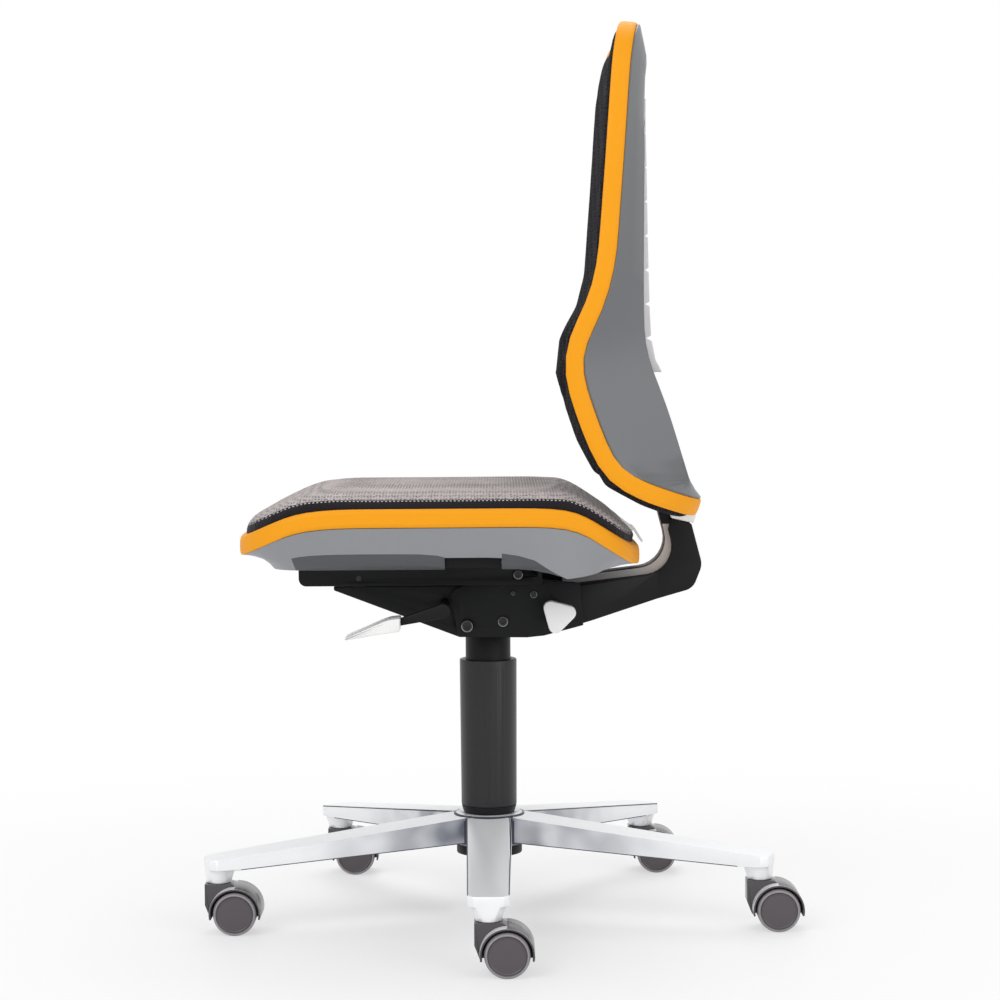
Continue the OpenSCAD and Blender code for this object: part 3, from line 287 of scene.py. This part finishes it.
# Past this reach from the axis the bevels keep the plain polish, without the painted edge reflection.
plain_from = 0.3
base_mesh = eased(traced("star_base"), 0.0013, corner=24, paint=1)
for face in base_mesh.faces:
    spot = face.calc_center_median()
    if math.hypot(spot.x, spot.y) > plain_from:
        face.material_index = 0
fitted("base_star", base_mesh, "base", [polished, painted_edge_reflection], "star_base")


# Castors: five twin-wheel castors, each with a hood moulded in one piece with its stem socket,
# two soft-tread wheels on a steel axle, and a plain steel stem that turns in the leg's boss.
def turned(profile, centre, axis):
    """A solid turned round an axis from points given as (distance along, radius)."""
    mesh = bmesh.new()
    along = Vector(axis).normalized()
    out = along.orthogonal().normalized()
    line = [mesh.verts.new(Vector(centre) + along * a + out * r) for a, r in profile]
    edges = [mesh.edges.new(pair) for pair in zip(line, line[1:])]
    bmesh.ops.spin(
        mesh, geom=line + edges, cent=centre, axis=along, angle=2 * math.pi, steps=64,
        use_merge=True, use_duplicate=False,
    )
    bmesh.ops.remove_doubles(mesh, verts=mesh.verts, dist=0.000005)
    bmesh.ops.recalc_face_normals(mesh, faces=mesh.faces)
    return mesh


def painted(names, material):
    """Frame nodes that stay as they are, with their finish."""
    for name in names:
        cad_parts[name].data.materials.clear()
        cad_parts[name].data.materials.append(material)


hood_plastic = finish("castor plastic", srgb(66, 63, 66), 0.3, mottle=0.05, coat=0.25)
rim_plastic = finish("castor rim", srgb(208, 205, 209), 0.28, mottle=0.04, coat=0.3)
disc_plastic = finish("wheel disc", srgb(84, 78, 81), 0.45, mottle=0.05)
tread_rubber = finish("soft tread", srgb(150, 146, 150), 0.55, mottle=0.05, grain=1500)
steel = finish("castor steel", srgb(170, 170, 174), 0.25, metallic=1.0, streak=(8, 1, 1))
# The wheel's section: its dished disc, the groove beside the tread, the tread and the inner face
wheel_section = [
    (0.0, 0.0), (-0.0002, 0.0100), (-0.0006, 0.0188), (0.0001, 0.0198), (0.0001, 0.0206),
    (-0.0010, 0.0209), (-0.0010, 0.0214), (0.0003, 0.0219), (-0.0003, 0.0235),
    (-0.0020, 0.0247), (-0.0045, 0.0250), (-0.0150, 0.0250), (-0.0180, 0.0243),
    (-0.0187, 0.0220), (-0.0180, 0.0060), (-0.0150, 0.0),
]
disc_r = 0.0212
hood_skin_r = 0.0288
hood_web_half = 0.0142
rim_slope = 0.5
for i in range(1, 6):
    castor = f"castor_{i}"
    housing = f"{castor}_housing"
    low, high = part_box(f"{castor}_axle")
    axle = (low + high) / 2
    hood = eased(traced(housing), 0.0007)
    for face in hood.faces:
        spot = face.calc_center_median() - axle
        outside = math.hypot(spot.y, spot.z) > hood_skin_r and spot.z > 0
        on_rim = outside and abs(face.normal.x) < rim_slope and abs(spot.x) > hood_web_half
        face.material_index = 1 if on_rim else 0
    fitted(f"{castor}_hood", hood, castor, [hood_plastic, rim_plastic], housing)
    for side, way in (("left", 1), ("right", -1)):
        body = f"{castor}_wheel_{side}"
        low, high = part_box(body)
        middle = (low + high) / 2
        hub = Vector((high.x if way > 0 else low.x, middle.y, middle.z))
        wheel = turned(wheel_section, hub, (way, 0, 0))
        for face in wheel.faces:
            spot = face.calc_center_median() - hub
            face.material_index = 1 if math.hypot(spot.y, spot.z) > disc_r else 0
        fitted(f"{castor}_{side}_tyre", wheel, body, [disc_plastic, tread_rubber], body)
    painted([f"{castor}_stem", f"{castor}_axle"], steel)


# Column: a gas spring in a steel tube, covered by two telescoping moulded sleeves, the lower
# one slightly tapered. A black ring seats them on the hub, and a disc closes it below.
def moulded(name, part, ease, body, material):
    """A frame node's own shape in the node's place, its sharp edges rounded."""
    return fitted(name, eased(traced(part), ease), body, [material], part)


sleeve_plastic = finish(
    "sleeve plastic", srgb(36, 36, 38), 0.36, mottle=0.05, grain=1200, shine=0.35
)
black_plastic = finish(
    "black plastic", srgb(20, 20, 22), 0.42, mottle=0.08, grain=1200, shine=0.18
)
black_steel = finish("black steel", srgb(28, 28, 30), 0.3, mottle=0.1)
nylon = finish("white nylon", srgb(222, 220, 212), 0.45, mottle=0.03)
red_plastic = finish("red button", srgb(170, 40, 32), 0.4, mottle=0.05)
for part, ease, body, material in (
    ("hub_caps", 0.0012, "base", black_plastic),
    ("lower_sleeve", 0.0016, "base", sleeve_plastic),
    ("upper_sleeve", 0.0012, "mechanism", black_plastic),
):
    moulded(f"{part}_moulding", part, ease, body, material)
painted(["lift_tube", "lift_cylinder"], black_steel)
painted(["lift_rod", "thrust_bearing", "lift_clip"], steel)
painted(["lift_bush"], nylon)
painted(["release_button"], red_plastic)


# Mechanism: a black pressed-steel box under the seat with a yoke plate on each side, hung on
# one thick pivot bolt, and a coil spring inside. Small socket bolts hold the links.
def bolt_head(mesh, place, x, way, radius, height):
    """Adds a domed bolt head with a painted highlight ring and a hexagon socket, on a face along X.
    """
    glint_ring_w, land_w, socket_r = radius * 0.16, radius * 0.3, radius * 0.5
    dome_h, socket_depth = height * 0.3, height * 0.8
    bare = set(mesh.verts)
    made = bmesh.ops.create_circle(mesh, cap_ends=True, segments=24, radius=radius)
    face = made["verts"][0].link_faces[0]
    if face.normal.z < 0:
        face.normal_flip()
    grown = bmesh.ops.extrude_face_region(mesh, geom=[face])
    rim = [v for v in grown["geom"] if isinstance(v, bmesh.types.BMVert)]
    bmesh.ops.translate(mesh, verts=rim, vec=(0, 0, height))
    top = [f for f in grown["geom"] if isinstance(f, bmesh.types.BMFace)][0]
    dome = bmesh.ops.inset_region(mesh, faces=[top], thickness=glint_ring_w, depth=dome_h)
    # The ring round the dome takes the bright second paint: a painted highlight.
    for ring in dome["faces"]:
        ring.material_index = 1
    bmesh.ops.inset_region(mesh, faces=[top], thickness=land_w)
    for v in top.verts:
        turn = math.atan2(v.co.y, v.co.x)
        flat = socket_r / math.cos((turn + math.pi / 6) % (math.pi / 3) - math.pi / 6)
        v.co.x, v.co.y = flat * math.cos(turn), flat * math.sin(turn)
    bmesh.ops.inset_region(mesh, faces=[top], thickness=0.0, depth=-socket_depth)
    new = [v for v in mesh.verts if v not in bare]
    outward = Matrix.Rotation(way * math.pi / 2, 4, "Y")
    bmesh.ops.transform(mesh, matrix=Matrix.Translation((x, *place)) @ outward, verts=new)


pressed_steel = finish(
    "pressed steel", srgb(18, 19, 21), 0.42, mottle=0.12, patch=20, grain=700, shine=0.18
)
bolt_steel = finish("bolt steel", srgb(30, 30, 33), 0.35, mottle=0.1, shine=0.4)
bolt_painted_glint = finish("bolt painted glint", srgb(150, 151, 154), 0.3, metallic=0.4, mottle=0.1)
moulded("mechanism_box", "mechanism_housing", 0.0014, "mechanism", pressed_steel)
moulded("yoke_plates", "side_plates", 0.0009, "back_arm", pressed_steel)
painted(["tilt_spring"], steel)
# Each head: its place as (Y, Z), the face it stands on along X, its radius and its height
plate_face = 0.0665
pivot_face = plate_face + 0.0004
link_face = 0.0734
bolts = {
    "pivot_bolts": ("mechanism", [((-0.024, 0.351), pivot_face, 0.0068, 0.0044)]),
    "plate_fasteners": ("back_arm", [
        ((0.018, 0.356), plate_face, 0.0058, 0.0030),
        ((0.030, 0.389), plate_face, 0.0025, 0.0022),
        ((0.054, 0.3875), plate_face, 0.0041, 0.0024),
        ((0.036, 0.4115), link_face, 0.0054, 0.0030),
    ]),
}
for part, (body, heads) in bolts.items():
    shanks = traced(part)
    for spot, head_face, radius, height in heads:
        for way in (1, -1):
            bolt_head(shanks, spot, way * head_face, way, radius, height)
    fitted(f"{part}_socketed", shanks, body, [bolt_steel, bolt_painted_glint], part)


# Levers: a black shaft with a white crescent paddle that works the gas spring, and a white
# three-cornered grip that locks the tilt.
white_plastic = finish("white plastic", srgb(246, 246, 245), 0.35, mottle=0.02, coat=0.2)
moulded("lever_shaft", "height_lever", 0.0006, "height_lever", black_plastic)
moulded("lever_paddle", "height_paddle", 0.0016, "height_lever", white_plastic)
moulded("tilt_grip", "tilt_lever", 0.0016, "tilt_lever", white_plastic)


# Back arm: a moulded arm with a raised rib along its inner curve, its sides painted pale as a
# reflection, from the yoke up to a flat blade that the backrest slides on. A white ring closes the
# joint below the shell.
arm_plastic = finish("arm plastic", srgb(22, 22, 24), 0.42, patch=16, shine=0.18)
rib_painted_reflection = finish("arm rib painted reflection", srgb(190, 187, 185), 0.3, mottle=0.06)
rib_half = 0.022
rib_slack = 0.0008
side_slope = 0.9
rib_top = 0.466
arm = traced("back_arm")
bmesh.ops.bisect_plane(
    arm, geom=arm.verts[:] + arm.edges[:] + arm.faces[:], dist=weld,
    plane_co=(0, 0, rib_top), plane_no=(0, 0, 1),
)
# The rib's sides below its top take the pale paint: a painted reflection.
for face in arm.faces:
    spot = face.calc_center_median()
    beside = abs(abs(spot.x) - rib_half) < rib_slack and abs(face.normal.x) > side_slope
    face.material_index = 1 if beside and spot.z < rib_top else 0
fitted("arm_moulding", eased(arm, 0.0012), "back_arm", [arm_plastic, rib_painted_reflection], "back_arm")
moulded("arm_ring", "arm_collar", 0.0012, "back_arm", white_plastic)


# Carrier and slide: a black steel channel that tilts on the box's front pins, and the plate
# that the seat runs on, hooked under the channel's lips.
moulded("seat_channel", "seat_carrier", 0.001, "seat_carrier", pressed_steel)
moulded("seat_runner", "seat_slide", 0.0004, "seat", black_plastic)


# Seat shell: a pale grey moulding that wraps the board's underside, with painted shade on the
# downward faces of its skirt, and a bright orange edge band pressed round its rim.
def smooth_copy(name, corner=28):
    """A merged copy of a frame node's mesh in quads, its sharp edges creased."""
    mesh = merged(name)
    bmesh.ops.join_triangles(
        mesh, faces=mesh.faces, angle_face_threshold=math.radians(40),
        angle_shape_threshold=math.radians(100), cmp_seam=False, cmp_sharp=False,
        cmp_uvs=False, cmp_vcols=False, cmp_materials=False,
    )
    crease = mesh.edges.layers.float.new("crease_edge")
    for edge in bent(mesh, corner):
        edge[crease] = 1.0
    return mesh


def rounded(piece):
    """A Subdivision Surface on a piece, the same at work and in the render."""
    surface = piece.modifiers.new("surface", "SUBSURF")
    surface.levels = 1
    surface.render_levels = 1


def near(name):
    """A search tree of a frame node's surface."""
    mesh = bmesh.new()
    mesh.from_mesh(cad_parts[name].data)
    tree = BVHTree.FromBMesh(mesh)
    mesh.free()
    return tree


shell_paint = finish("seat shell", srgb(147, 149, 153), 0.42, mottle=0.03, patch=5)
skirt_painted_shade = finish("shell skirt painted shade", srgb(80, 82, 85), 0.45, mottle=0.04, patch=5)
band_rubber = finish(
    "orange band", srgb(247, 163, 14), 0.55, mottle=0.03, patch=9, grain=1400, shine=0.25
)
seat_rim = near("seat_band")
painted_shade_from_rim = 0.040
seat_moulding = smooth_copy("seat_shell")
# Downward faces of the shell far from the band take painted shade.
for face in seat_moulding.faces:
    low = seat_rim.find_nearest(face.calc_center_median())[3] > painted_shade_from_rim
    face.material_index = 1 if low and face.normal.z < 0 else 0
rounded(fitted(
    "seat_shell_moulding", seat_moulding, "seat", [shell_paint, skirt_painted_shade],
    "seat_shell",
))
rounded(fitted(
    "seat_edge_band", smooth_copy("seat_band", corner=60), "seat", [band_rubber],
    "seat_band",
))
board_wood = finish(
    "board plywood", srgb(186, 152, 108), 0.6, mottle=0.15, patch=30, streak=(1, 8, 1)
)
painted(["seat_board", "back_board"], board_wood)


# Seat cushion: thick foam under an open grey mesh, with a black gusset round its side and a
# dotted seam where the two meet. A strap sewn behind it pulls it off its board.
def seamed(tree, place, top, height, side_colour, thread_colour):
    """The top's colour above a height over the band, a plain gusset below it, and a seam."""
    stitch_rate, dash_from, seam_drop, thread_half, turn_slope = 1400.0, 0.1, 0.0015, 0.0006, 0.45
    above = node(tree, "Attribute", {"attribute_name": "from_band"}).outputs["Fac"]
    axes = node(tree, "SeparateXYZ", Vector=place).outputs
    facing = node(tree, "SeparateXYZ", Vector=node(tree, "NewGeometry").outputs["Normal"])
    sideways = worked(tree, "ABSOLUTE", facing.outputs["X"])
    on_side = worked(tree, "GREATER_THAN", sideways, turn_slope)
    along = node(tree, "Mix", i0=on_side, i2=axes["X"], i3=axes["Y"]).outputs[0]
    wave = worked(tree, "SINE", worked(tree, "MULTIPLY", along, stitch_rate))
    dash = worked(tree, "GREATER_THAN", wave, dash_from)
    off_seam = worked(tree, "SUBTRACT", above, height - seam_drop)
    on_line = worked(tree, "COMPARE", off_seam, 0.0, thread_half)
    stitch = worked(tree, "MULTIPLY", dash, on_line)
    side = blended(tree, stitch, side_colour, thread_colour)
    return blended(tree, worked(tree, "GREATER_THAN", above, height), side, top)


def mesh_cloth(name, light, dark, cell, relief, bloom, gusset=None):
    """Knitted mesh in rows of small open cells, over a gusset if its height and colours are given."""
    thread_reach, cloud_reach, cloud_tones = (0.15, 0.55), (0.3, 0.7), (0.88, 1.1)
    made = bpy.data.materials.new(name)
    made.use_nodes = True
    tree = made.node_tree
    shader = tree.nodes["Principled BSDF"]
    place = node(tree, "TexCoord").outputs["Object"]
    cells = node(
        tree, "TexVoronoi", {"feature": "F1"}, Vector=place, Scale=1 / cell, Randomness=0.35
    )
    thread = ranged(tree, cells.outputs["Distance"], source=thread_reach)
    cloud = node(tree, "TexNoise", Vector=place, Scale=24.0, Detail=3.0).outputs["Fac"]
    tone = ranged(tree, cloud, source=cloud_reach, target=cloud_tones)
    shade = blended(tree, thread, dark, light)
    toned = node(tree, "VectorMath", {"operation": "SCALE"}, i0=shade, Scale=tone).outputs["Vector"]
    if gusset:
        toned = seamed(tree, place, toned, *gusset)
    bump = node(tree, "Bump", Height=thread, Strength=1.0, Distance=relief).outputs["Normal"]
    tree.links.new(toned, shader.inputs["Base Color"])
    tree.links.new(bump, shader.inputs["Normal"])
    shader.inputs["Roughness"].default_value = 0.85
    shader.inputs["Specular IOR Level"].default_value = bloom
    shader.inputs["Sheen Weight"].default_value = bloom / 2
    return made


def inflated(name, shrink, cap, rim):
    """A cushion's solid blown up as cloth, no further than the cap, and held beside its rim."""
    voxel, pressure, last_frame, hold_width = 0.005, 4.0, 20, 0.03
    source = smooth_copy(name, corner=80)
    bmesh.ops.triangulate(source, faces=source.faces)
    data = bpy.data.meshes.new(f"{name}_foam")
    source.to_mesh(data)
    source.free()
    foam = placed(f"{name}_foam", data)
    fine = foam.modifiers.new("voxels", "REMESH")
    fine.mode = "VOXEL"
    fine.voxel_size = voxel
    view = bpy.context.evaluated_depsgraph_get()
    worn = bpy.data.meshes.new_from_object(foam.evaluated_get(view))
    foam.modifiers.clear()
    foam.data = worn
    start = [v.co.copy() for v in worn.vertices]
    normals = [v.normal.copy() for v in worn.vertices]
    for v, n in zip(worn.vertices, normals):
        v.co = v.co - n * shrink
    blown = foam.modifiers.new("cloth", "CLOTH")
    blown.settings.use_pressure = True
    blown.settings.uniform_pressure_force = pressure
    blown.settings.effector_weights.gravity = 0.0
    blown.settings.quality = 5
    blown.point_cache.frame_start = 1
    blown.point_cache.frame_end = last_frame
    for step in range(1, last_frame + 1):
        bpy.context.scene.frame_set(step)
    view = bpy.context.evaluated_depsgraph_get()
    swollen = bpy.data.meshes.new_from_object(foam.evaluated_get(view))
    moved = [v.co.copy() for v in swollen.vertices]
    bpy.context.scene.frame_set(1)
    foam.modifiers.clear()
    for v, rest, place in zip(worn.vertices, start, moved):
        shift = (place - rest) * min(1, rim.find_nearest(rest)[3] / hold_width)
        v.co = rest + shift * min(1.0, cap / max(shift.length, 1e-9))
    mesh = bmesh.new()
    mesh.from_mesh(worn)
    bmesh.ops.smooth_vert(
        mesh, verts=mesh.verts, factor=0.5, use_axis_x=True, use_axis_y=True, use_axis_z=True
    )
    bpy.data.objects.remove(foam)
    return mesh


def measured(piece, rim):
    """Keeps each point's distance from the band as an attribute, for the gusset and its seam."""
    away = piece.data.attributes.new("from_band", "FLOAT", "POINT")
    for i, v in enumerate(piece.data.vertices):
        away.data[i].value = rim.find_nearest(v.co)[3]


seat_mesh = mesh_cloth(
    "seat mesh", srgb(190, 181, 180), srgb(92, 84, 85), cell=0.0034, relief=0.0005, bloom=0.2,
    gusset=(0.0115, srgb(30, 28, 33), srgb(196, 190, 188)),
)
seat_foam = inflated("seat_cushion", shrink=0.0, cap=0.004, rim=seat_rim)
seat_pad = fitted("seat_pad", seat_foam, "seat", [seat_mesh], "seat_cushion")
rounded(seat_pad)
measured(seat_pad, seat_rim)
painted(["depth_button"], black_plastic)
painted(["pull_loop"], white_plastic)


# Backrest shell: a grey moulding with a crowned rear face, an orange band round its rim, and
# a ribbed panel down its spine, painted pale as a highlight from the light behind it.
back_paint = finish("back shell", srgb(108, 110, 113), 0.42, mottle=0.03, patch=5)
# The panel's near-white is painted highlight, standing for strong light from behind the chair.
panel_painted_highlight = finish("spine panel painted highlight", srgb(232, 230, 232), 0.4, mottle=0.03, patch=8)
rounded(fitted(
    "back_shell_moulding", smooth_copy("back_shell"), "backrest", [back_paint],
    "back_shell",
))
rounded(fitted(
    "back_edge_band", smooth_copy("back_band", corner=60), "backrest", [band_rubber],
    "back_band",
))
moulded("spine_panel", "back_panel", 0.0008, "backrest", panel_painted_highlight)
painted(["back_guide"], black_plastic)


# Back cushion: a thin pad of coarse black mesh on the backrest's front, inside the band, with
# its edge tucked in beside the band.
back_rim = near("back_band")
back_mesh = mesh_cloth(
    "back mesh", srgb(46, 44, 48), srgb(10, 10, 12), cell=0.0042, relief=0.0012, bloom=0.04
)
back_foam = inflated("back_cushion", shrink=0.0015, cap=0.0015, rim=back_rim)
back_pad = fitted("back_pad", back_foam, "backrest", [back_mesh], "back_cushion")
rounded(back_pad)
